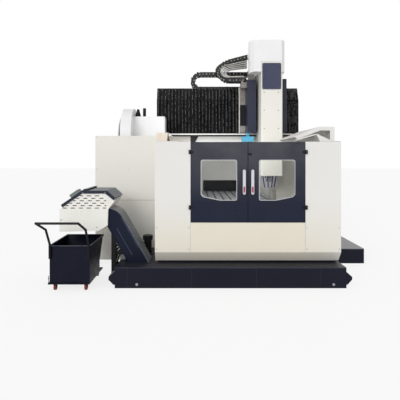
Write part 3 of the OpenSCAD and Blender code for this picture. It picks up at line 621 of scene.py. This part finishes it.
safety_pane, tree = blank("safety_pane")
place = add(tree, "TexCoord")
smears = add(tree, "TexNoise", {"Vector": place.outputs["Object"], "Scale": 6.0, "Detail": 7,
                                "Roughness": 0.65})
smear_rough = add(tree, "MapRange", {"Value": smears.outputs[0], 1: 0.45, 2: 0.75, 3: 0.0,
                                     4: 0.12})
tint = add(tree, "Mix", {0: smears.outputs[0], 6: (0.97, 0.985, 0.98, 1),
           7: (0.93, 0.95, 0.945, 1)}, data_type="RGBA")
pane = add(tree, "BsdfPrincipled", {"Base Color": tint.outputs[2],
           "Roughness": smear_rough.outputs[0], "Transmission Weight": 1.0, "IOR": 1.05})
add(tree, "OutputMaterial", {"Surface": pane.outputs[0]})
finish_as(safety_pane, "left_window", "right_window")

grip_silver, tree = blank("grip_silver")
place = add(tree, "TexCoord")
axes = add(tree, "SeparateXYZ", {0: place.outputs["Object"]})
brushed = add(tree, "Mapping", {"Vector": place.outputs["Object"], "Scale": (500, 500, 6)})
hair = add(tree, "TexNoise", {"Vector": brushed.outputs[0], "Scale": 1.0, "Detail": 2})
pull_x, inlay_half, inlay_z, inlay_rise = 0.067, 0.0145, 1.512, 0.052
from_middle = add(tree, "Math", {0: axes.outputs["X"]}, operation="ABSOLUTE")
off_centre = add(tree, "Math", {0: from_middle.outputs[0], 1: pull_x, 2: inlay_half},
                 operation="COMPARE")
below_join = add(tree, "Math", {0: axes.outputs["Z"], 1: inlay_z, 2: inlay_rise},
                 operation="COMPARE")
inlay = add(tree, "Math", {0: off_centre.outputs[0], 1: below_join.outputs[0]},
            operation="MULTIPLY")
silver = add(tree, "Mix", {0: hair.outputs[0], 6: rgb(226, 224, 232),
             7: rgb(196, 194, 204)}, data_type="RGBA")
colour = add(tree, "Mix", {0: inlay.outputs[0], 6: silver.outputs[2],
             7: rgb(158, 60, 74)}, data_type="RGBA")
metal_share = add(tree, "MapRange", {"Value": inlay.outputs[0], 3: 0.55, 4: 0.0})
ridges = add(tree, "Bump", {"Height": hair.outputs[0], "Strength": 0.2, "Distance": 0.0001})
grip = add(tree, "BsdfPrincipled", {"Base Color": colour.outputs[2], "Roughness": 0.28,
           "Metallic": metal_share.outputs[0], "Normal": ridges.outputs[0]})
add(tree, "OutputMaterial", {"Surface": grip.outputs[0]})
finish_as(grip_silver, "left_handle", "right_handle")

trim_silver = ground("trim_silver", rgb(214, 214, 216), along="Z", rough=(0.25, 0.35))


def window_outline(side):
    """The pane's outline on the left (-1) or right (1) door, with its cut lower outer corner."""
    inner, outer, top, bottom = 0.179, 0.752, 1.986, 1.341
    corner, flat, cut = 0.032, 0.261, 0.067
    points = []
    for x, z, start in ((inner + corner, top - corner, 90), (inner + corner, bottom + corner, 180)):
        for step in range(5):
            angle = math.radians(start + step * 22.5)
            points.append((x + corner * math.cos(angle), z + corner * math.sin(angle)))
    points.append((inner + flat, bottom))
    points.append((outer - corner * 1.2, bottom + cut - 0.012))
    points.append((outer, bottom + cut + corner))
    for step in range(5):
        angle = math.radians(step * 22.5)
        points.append((outer - corner + corner * math.cos(angle),
                       top - corner + corner * math.sin(angle)))
    return [(side * x, z) for x, z in points]


def window_trim(name, side, body):
    """A thin silver lip round the pane with a rubber seal inside it."""
    shape = bmesh.new()
    outline = window_outline(side)
    middle = Vector((sum(x for x, _ in outline) / len(outline), 0,
                     sum(z for _, z in outline) / len(outline)))
    rings = []
    for inset, y in ((0.004, -0.0003), (0.004, -0.004), (-0.006, -0.004), (-0.006, 0.006)):
        ring = []
        for x, z in outline:
            out = Vector((x, 0, z)) - middle
            out = Vector((math.copysign(1, out.x), 0, math.copysign(1, out.z))) * inset
            ring.append(shape.verts.new((x + out.x, y, z + out.z)))
        rings.append(ring)
    for number, (first, second) in enumerate(zip(rings, rings[1:])):
        for k in range(len(outline)):
            n = (k + 1) % len(outline)
            shape.faces.new((first[k], first[n], second[n], second[k])).material_index = number // 2
    bmesh.ops.recalc_face_normals(shape, faces=shape.faces[:])
    new_piece(name, shape, body, "handle_metal", trim_silver, gasket_rubber)


leaf_y, leaf_middle_z, leaf_high, leaf_edges_z = 0.002, 1.63, 1.286, (0.9885, 2.2715)
leaf_wide, pull_y, pull_screws_z, latch_x, latch_z = 0.9, -0.0705, (1.47, 1.803), 0.04, 2.08
for side, word in ((-1, "left"), (1, "right")):
    leaf = word + "_door_leaf"
    window_trim(word + "_window_trim", side, leaf)
    shape = bmesh.new()
    add_box(shape, (side * 0.0035, leaf_y, leaf_middle_z), (0.003, 0.012, leaf_high))
    for z in leaf_edges_z:
        add_box(shape, (side * 0.46, leaf_y, z), (leaf_wide, 0.008, 0.003))
    new_piece(word + "_door_gasket", shape, leaf, "black_steel", gasket_rubber)
    shape = bmesh.new()
    for z in pull_screws_z:
        add_disc(shape, (side * pull_x, pull_y, z), (0, -1, 0), 0.009, 0.003, sides=16)
    new_piece(word + "_handle_screws", shape, leaf, "handle_metal", trim_silver)
shape = bmesh.new()
add_disc(shape, (latch_x, -0.012, latch_z), (0, -1, 0), 0.019, 0.024, sides=20, tip=0.016)
add_box(shape, (latch_x / 2, -0.004, latch_z), (latch_x, 0.008, 0.022), bevel=0.003)
new_piece("door_latch", shape, "right_door_leaf", "black_steel", satin_black)


# The table is an iron casting, ground and scraped on top, with coolant dried on it; below its top
# it is painted near black as shade in its T-slots. A black sheet guard stands at its rear.
table_top_z = 1.2
finish_as(ground("table_scraped", rgb(176, 180, 184), rough=(0.3, 0.5), lines=140,
                 shade_below=table_top_z), "work_table")
finish_as(satin_black, "chip_guard")


# The bellows over the crossbeam are black coated fabric folded over stiffeners; each fold's ridge
# carries a broken row of pale dashes, painted highlights where the ridge catches the light. They
# hang on the rails and lean back above a crease. Below them are an ivory ledge with a black strip
# along it, a painted shadow, and, by the left column, a black gusset.
finish_as(ivory_coat, "beam_ledge")
fold_black = sprayed("fold_black", rgb(8, 8, 9), rgb(13, 13, 15), sheen=(0.22, 0.4), patch=5,
                     dust=0.04, peel=90, bump=0.0012, gloss=0.25)
ridge_highlight_pale = sprayed("ridge_highlight_pale", rgb(168, 166, 166), rgb(84, 82, 84), sheen=(0.3, 0.5),
                      patch=30)
hem_z, crease_z, top_z, fabric_y, lean_angle = 2.54, 3.26, 3.552, 2.351, math.radians(23)


def pleats(x0, x1, count, depth, seed):
    """Pleats with slightly uneven folds from hem to top, broken rows of painted highlights on the
    ridges.
    """
    chance = random.Random(seed)
    shape = bmesh.new()
    pitch = (x1 - x0) / (2 * count)
    heights = [hem_z, 2.58, 2.7, 2.85, 3.0, 3.14, 3.24, 3.262, 3.3, 3.4, 3.5, top_z]
    back_limit, low_back, high_back = 2.4985, 2.4395, 2.4992
    columns = []
    for index in range(2 * count + 1):
        sag = chance.uniform(-0.35, 0.35) * pitch
        edge = index in (0, 2 * count)
        column = []
        for level, z in enumerate(heights):
            out = depth if index % 2 == 0 else 0.0
            lean = max(0.0, z - crease_z) * math.tan(lean_angle)
            wave = 0 if edge else sag * math.sin(level * 0.7 + index) * 0.5
            droop = 0.0 if edge or level == 0 else chance.uniform(0, 0.006)
            y = min(fabric_y + out + lean + droop, back_limit)
            column.append(shape.verts.new((x0 + index * pitch + wave, y, z)))
        columns.append(column)
    for left, right in zip(columns, columns[1:]):
        for low in range(len(heights) - 1):
            shape.faces.new((left[low], right[low], right[low + 1], left[low + 1]))
    back = [[shape.verts.new((x, y, z)) for y, z in ((low_back, hem_z), (low_back, 3.355),
             (high_back, 3.365), (high_back, top_z))] for x in (x0, x1)]
    for level in range(3):
        shape.faces.new((back[1][level], back[0][level], back[0][level + 1], back[1][level + 1]))
    bottom = [column[0] for column in columns]
    shape.faces.new(bottom[::-1] + [back[0][0], back[1][0]])
    shape.faces.new([column[-1] for column in columns] + [back[1][-1], back[0][-1]])
    shape.faces.new(columns[0] + [back[0][3], back[0][2], back[0][1], back[0][0]])
    shape.faces.new(columns[-1][::-1] + [back[1][0], back[1][1], back[1][2], back[1][3]])
    # Painted highlights: pale dashes along the ridges of the folds.
    lower_rows = (2.575, 0.0262, 26, 0.28, (0.006, 0.0016, 0.012))
    upper_rows = (3.3, 0.028, 9, 0.35, (0.007, 0.0016, 0.014))
    for low_z, pitch_z, rows, missing, size in (lower_rows, upper_rows):
        for index in range(1, 2 * count, 2):
            for number in range(rows):
                z = low_z + number * pitch_z
                if chance.random() < missing:
                    continue
                level = max(k for k in range(len(heights)) if heights[k] <= z)
                share = (z - heights[level]) / (heights[level + 1] - heights[level])
                spot = columns[index][level].co.lerp(columns[index][level + 1].co, share)
                add_box(shape, spot + Vector((0, -0.0004, 0)), size, finish=1)
    bmesh.ops.recalc_face_normals(shape, faces=shape.faces[:])
    return shape


long_bellows = new_piece("long_bellows", pleats(-1.686, 0.108, 24, 0.026, 7), None,
                         "bellows_fabric", fold_black, ridge_highlight_pale)
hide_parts("beam_bellows")
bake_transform(long_bellows)
short_bellows = new_piece("short_bellows", pleats(1.154, 1.42, 10, 0.012, 8), None,
                          "bellows_fabric", fold_black, ridge_highlight_pale)
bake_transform(short_bellows)
ledge_middle_x, ledge_y, ledge_z, ledge_long = -0.095, 2.336, 2.494, 2.73
# Painted shadow: a black strip along the front of the ledge.
shape = bmesh.new()
add_box(shape, (ledge_middle_x, ledge_y, ledge_z), (ledge_long, 0.008, 0.034), bevel=0.002)
new_piece("ledge_shadow_strip", shape, "frame", "black_steel", satin_black)
shape = bmesh.new()
plate(shape, [(-0.949, 2.508), (-0.76, 2.508), (-0.86, 2.33), (-0.949, 2.33)], 2.452, 2.487)
new_piece("column_gusset", shape, "frame", "black_steel", satin_black)


# The saddle is a primed casting between two navy sheet guards, with a light blue drip tray below.
# Its left edge carries a white frame that closes the bellows, and beside it a black wiper box.
saddle_primer = sprayed("saddle_primer", rgb(150, 146, 142), rgb(122, 117, 112), sheen=(0.45, 0.65),
                        patch=4, peel=60, bump=0.001, dust=0.4)
finish_as(saddle_primer, "saddle")
tray_blue = sprayed("tray_blue", rgb(88, 172, 205), rgb(80, 160, 195), sheen=(0.25, 0.35))
finish_as(tray_blue, "drip_tray")
guard_navy = sprayed("guard_navy", rgb(47, 50, 68), rgb(41, 44, 61), sheen=(0.26, 0.4), patch=2,
                     gloss=0.25)
finish_as(guard_navy, "saddle_guards")
frame_white = sprayed("frame_white", rgb(226, 222, 216), rgb(206, 202, 196), dust=0.1, patch=6)
frame_x, frame_wide, frame_middle_z, frame_high = 0.119, 0.02, 3.045, 1.0
box_x, box_y, box_z, box_screw_x, box_screw_z = 0.19, 2.31, 2.935, 0.045, 0.205
shape = bmesh.new()
add_box(shape, (frame_x, 2.335, frame_middle_z), (frame_wide, 0.03, frame_high), bevel=0.003)
add_box(shape, (frame_x, 2.4, 3.545), (frame_wide, 0.16, 0.02), bevel=0.003)
for z in (2.6, 2.85, 3.1, 3.35):
    add_disc(shape, (frame_x, 2.318, z), (0, -1, 0), 0.006, 0.006)
new_piece("bellows_end_frame", shape, "cross_slide", "ivory_paint", frame_white)
shape = bmesh.new()
add_box(shape, (box_x, box_y, box_z), (0.112, 0.02, 0.45), bevel=0.004)
for z in (box_z - box_screw_z, box_z, box_z + box_screw_z):
    for x in (box_x - box_screw_x, box_x + box_screw_x):
        add_disc(shape, (x, 2.299, z), (0, -1, 0), 0.007, 0.006)
new_piece("saddle_wiper_box", shape, "cross_slide", "black_steel", satin_black)


# Both energy chains are strings of black moulded links, joined by pins whose pale ends show at
# the side. Pale corrugated conduits lie in the upper one's bend, from the shelf on the saddle to
# the bracket on the head, and black cables drop from the shelf into the saddle.
finish_as(ivory_coat, "chain_tray")


def loop_points(low_end, high_end, bend, radius, low_z, step):
    """Points along a chain's middle line: in along the floor run, round the bend and back."""
    lengths = (low_end - bend, math.pi * radius, high_end - bend)
    count = round(sum(lengths) / step)
    for index in range(count):
        way = (index + 0.5) / count * sum(lengths)
        if way < lengths[0]:
            yield low_end - way, low_z, 0.0
        elif way < lengths[0] + lengths[1]:
            angle = (way - lengths[0]) / radius
            yield (bend - radius * math.sin(angle), low_z + radius * (1 - math.cos(angle)), angle)
        else:
            yield bend + way - lengths[0] - lengths[1], low_z + 2 * radius, math.pi


def energy_chain(low_end, high_end, bend, radius, low_z, thick, y0, y1, step):
    """One chain: side plates, rungs and pins for each link."""
    plate_thick, pin_out, pin_r = 0.012, 0.0075, 0.011
    shape = bmesh.new()
    line = loop_points(low_end, high_end, bend, radius, low_z, step)
    for count, (x, z, angle) in enumerate(line):
        turn = Matrix.Rotation(-angle + math.pi, 4, "Y")
        for side, y in ((-1, y0), (1, y1)):
            inner = plate_thick / 2 if count % 2 else 0.0
            place = Vector((x, y - side * (plate_thick / 2 + inner), z))
            add_box(shape, place, (step * 1.12, plate_thick, thick), turn, bevel=0.006)
            add_disc(shape, place + turn @ Vector((step / 2, side * pin_out, 0)), (0, side, 0),
                     pin_r, 0.006, finish=1)
        for lift in (-1, 1):
            rung = turn @ Vector((0, 0, lift * (thick / 2 - 0.008)))
            add_box(shape, Vector((x, (y0 + y1) / 2, z)) + rung, (step * 0.5, y1 - y0 - 0.02, 0.01),
                    turn)
    return shape


def let_sag(shape, right=0.3, left=-0.2, low_z=3.7, high_z=4.17, drop=0.13):
    """Lets the bend of a loop hang lower than the end that the head holds."""
    for vert in shape.verts:
        along = min(1.0, max(0.0, (right - vert.co.x) / (right - left)))
        up = min(1.0, max(0.0, (vert.co.z - low_z) / (high_z - low_z)))
        vert.co.z -= drop * along * up
    return shape


link_black = sprayed("link_black", rgb(27, 26, 27), rgb(38, 36, 36), sheen=(0.32, 0.5), patch=8,
                     dust=0.5, peel=200)
pin_pale = sprayed("pin_pale", rgb(206, 204, 200), rgb(180, 178, 174), sheen=(0.3, 0.4), patch=9)
lower = new_piece("lower_energy_chain", energy_chain(
    low_end=0.2, high_end=0.32, bend=-0.73, radius=0.164, low_z=3.5583, thick=0.092, y0=2.56,
    y1=2.76, step=0.075), None, "chain_plastic", link_black, pin_pale)
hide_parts("lower_chain")
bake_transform(lower)
upper = new_piece("upper_energy_chain", let_sag(energy_chain(
    low_end=0.24, high_end=0.269, bend=-0.11, radius=0.2525, low_z=3.66, thick=0.1, y0=2.09,
    y1=2.24, step=0.07)), None, "chain_plastic", link_black, pin_pale)
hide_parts("upper_chain")
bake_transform(upper)

conduit_grey = sprayed("conduit_grey", rgb(196, 194, 190), rgb(168, 166, 163), patch=12)
rib_step, bend_steps, bend_wide, clip_x, shelf_x = 0.009, 40, 0.13, 0.262, 0.2
shape = bmesh.new()
for row in range(4):
    held, laid = 4.085 - 0.045 * row, 3.737 + 0.004 * row
    bend_x, deep = -0.17 + 0.035 * row, (held - laid) / 2
    for column in range(4):
        y = 2.115 + 0.033 * column
        points = [(clip_x - rib_step * k, y, held)
                  for k in range(round((clip_x - bend_x) / rib_step))]
        points += [(bend_x - bend_wide * math.sin(math.pi * k / bend_steps), y,
                    laid + deep * (1 + math.cos(math.pi * k / bend_steps)))
                   for k in range(bend_steps + 1)]
        points += [(bend_x + rib_step * k, y, laid)
                   for k in range(1, round((shelf_x - bend_x) / rib_step))]
        ribbed_tube(shape, points, 0.0125, 0.0025)
conduits = new_piece("upper_chain_conduits", let_sag(shape), None, "chain_plastic", conduit_grey)
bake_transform(conduits)

shape = bmesh.new()
for count in range(6):
    y = 2.1 + 0.024 * count
    rise = 0.006 * count
    ribbed_tube(shape, smooth_line([(0.16, y, 3.652 + rise), (0.2, y, 3.69 + rise),
                (0.232, y + 0.01, 3.7 + rise), (0.247, y + 0.05, 3.66 + rise),
                (0.249, y + 0.09, 3.58)], 8), 0.009, 0.0008)
new_piece("saddle_cables", shape, "cross_slide", "black_steel", cable_black)


# The head is covered in white sheets; the ram below it is a scraped casting sprayed the same
# white, and the plate in front of its drive is navy grey. Violet coolant hoses end beside the
# spindle.
head_white = sprayed("head_white", rgb(244, 244, 246), rgb(238, 238, 240), sheen=(0.35, 0.48),
                     dust=0.1)
ram_white = sprayed("ram_white", rgb(235, 233, 226), rgb(229, 227, 219), patch=0.8, peel=220,
                    bump=0.0004)
plate_navy = sprayed("plate_navy", rgb(70, 73, 96), rgb(62, 65, 88), sheen=(0.26, 0.38), patch=3,
                     gloss=0.25)
finish_as(head_white, "head_housing")
finish_as(ram_white, "ram")
finish_as(plate_navy, "ram_panel")
hose_violet = sprayed("hose_violet", rgb(60, 52, 140), rgb(48, 42, 118), sheen=(0.3, 0.42))
finish_as(hose_violet, "coolant_nozzles")
ram_y, plate_y = 1.65, 1.636
screws("ram_screws", "head", (0, -1, 0),
       [(x, ram_y, z) for x in (0.545, 0.83) for z in (2.6, 2.97, 3.33)], 0.011, 0.006)
screws("ram_plate_screws", "head", (0, -1, 0),
       [(x, plate_y, z) for x in (0.53, 0.858) for z in (3.42, 3.66, 3.895)], 0.007)


# The chip cart is welded sheet in near-black navy, its rolled rim worn bright by shovels; a bent
# rod lever with a cross pin stands at the front left corner of its base. The handle and casters
# are black, with red polyurethane treads, pressed caps and nuts on the axles.
cart_navy = sprayed("cart_navy", rgb(9, 12, 30), rgb(14, 17, 34), sheen=(0.34, 0.55), patch=4,
                    dust=0.08, bump=0.0003, gloss=0.13)
finish_as(cart_navy, "cart_hopper", "cart_base")
finish_as(satin_black, "caster_forks", "cart_handle")
tread_red = sprayed("tread_red", rgb(132, 34, 26), rgb(112, 28, 22), sheen=(0.45, 0.6), patch=20)
finish_as(tread_red, "front_wheels", "rear_wheels")
rim_worn = sprayed("rim_worn", rgb(58, 62, 80), rgb(112, 114, 124), sheen=(0.3, 0.5), patch=9,
                   gloss=0.3)
shape = bmesh.new()
x0, x1, y0, y1, rim_z = -3.067, -2.433, -0.342, 0.562, 0.6885
rim_wide, rim_thick = 0.004, 0.007
for y in (y0, y1):
    add_box(shape, ((x0 + x1) / 2, y, rim_z), (x1 - x0, rim_wide, rim_thick), bevel=0.001)
for x in (x0, x1):
    add_box(shape, (x, (y0 + y1) / 2, rim_z), (rim_wide, y1 - y0, rim_thick), bevel=0.001)
new_piece("cart_rim_edge", shape, "cart", "navy_paint", rim_worn)
shape = bmesh.new()
add_box(shape, (-3.0655, -0.335, 0.129), (0.015, 0.026, 0.008), bevel=0.001)
ribbed_tube(shape, smooth_line([(x0, -0.335, 0.13), (x0, -0.337, 0.17), (x0, -0.344, 0.205),
            (x0, -0.336, 0.235)], 6), 0.005, 0)
add_disc(shape, (x0, -0.332, 0.19), (0, -1, 0), 0.006, 0.024, sides=10)
new_piece("cart_lever", shape, "cart", "navy_paint", rim_worn)
axle_z, rivet_ring, wheels_x, cap_out, nut_out = 0.048, 0.034, (-2.985, -2.515), 0.0165, 0.0265
for name, y, axle in (("front", -0.27, "front_axle"), ("rear", 0.44, "rear_axle")):
    sides = [(x, side) for x in wheels_x for side in (-1, 1)]
    shape = bmesh.new()
    for x, side in sides:
        add_disc(shape, (x + side * cap_out, y, axle_z), (side, 0, 0), 0.026, 0.002, sides=20)
        for k in range(5):
            a = 2 * math.pi * k / 5
            add_disc(shape, (x + side * 0.0178, y + rivet_ring * math.cos(a),
                     axle_z + rivet_ring * math.sin(a)), (side, 0, 0), 0.004, 0.0015, sides=8)
    new_piece(name + "_wheel_caps", shape, axle, "wheel_red", satin_black)
    shape = bmesh.new()
    for x, side in sides:
        add_disc(shape, (x + side * nut_out, y, axle_z), (side, 0, 0), 0.009, 0.005, sides=6)
    new_piece(name + "_axle_nuts", shape, "cart", "ground_steel", screw_zinc)
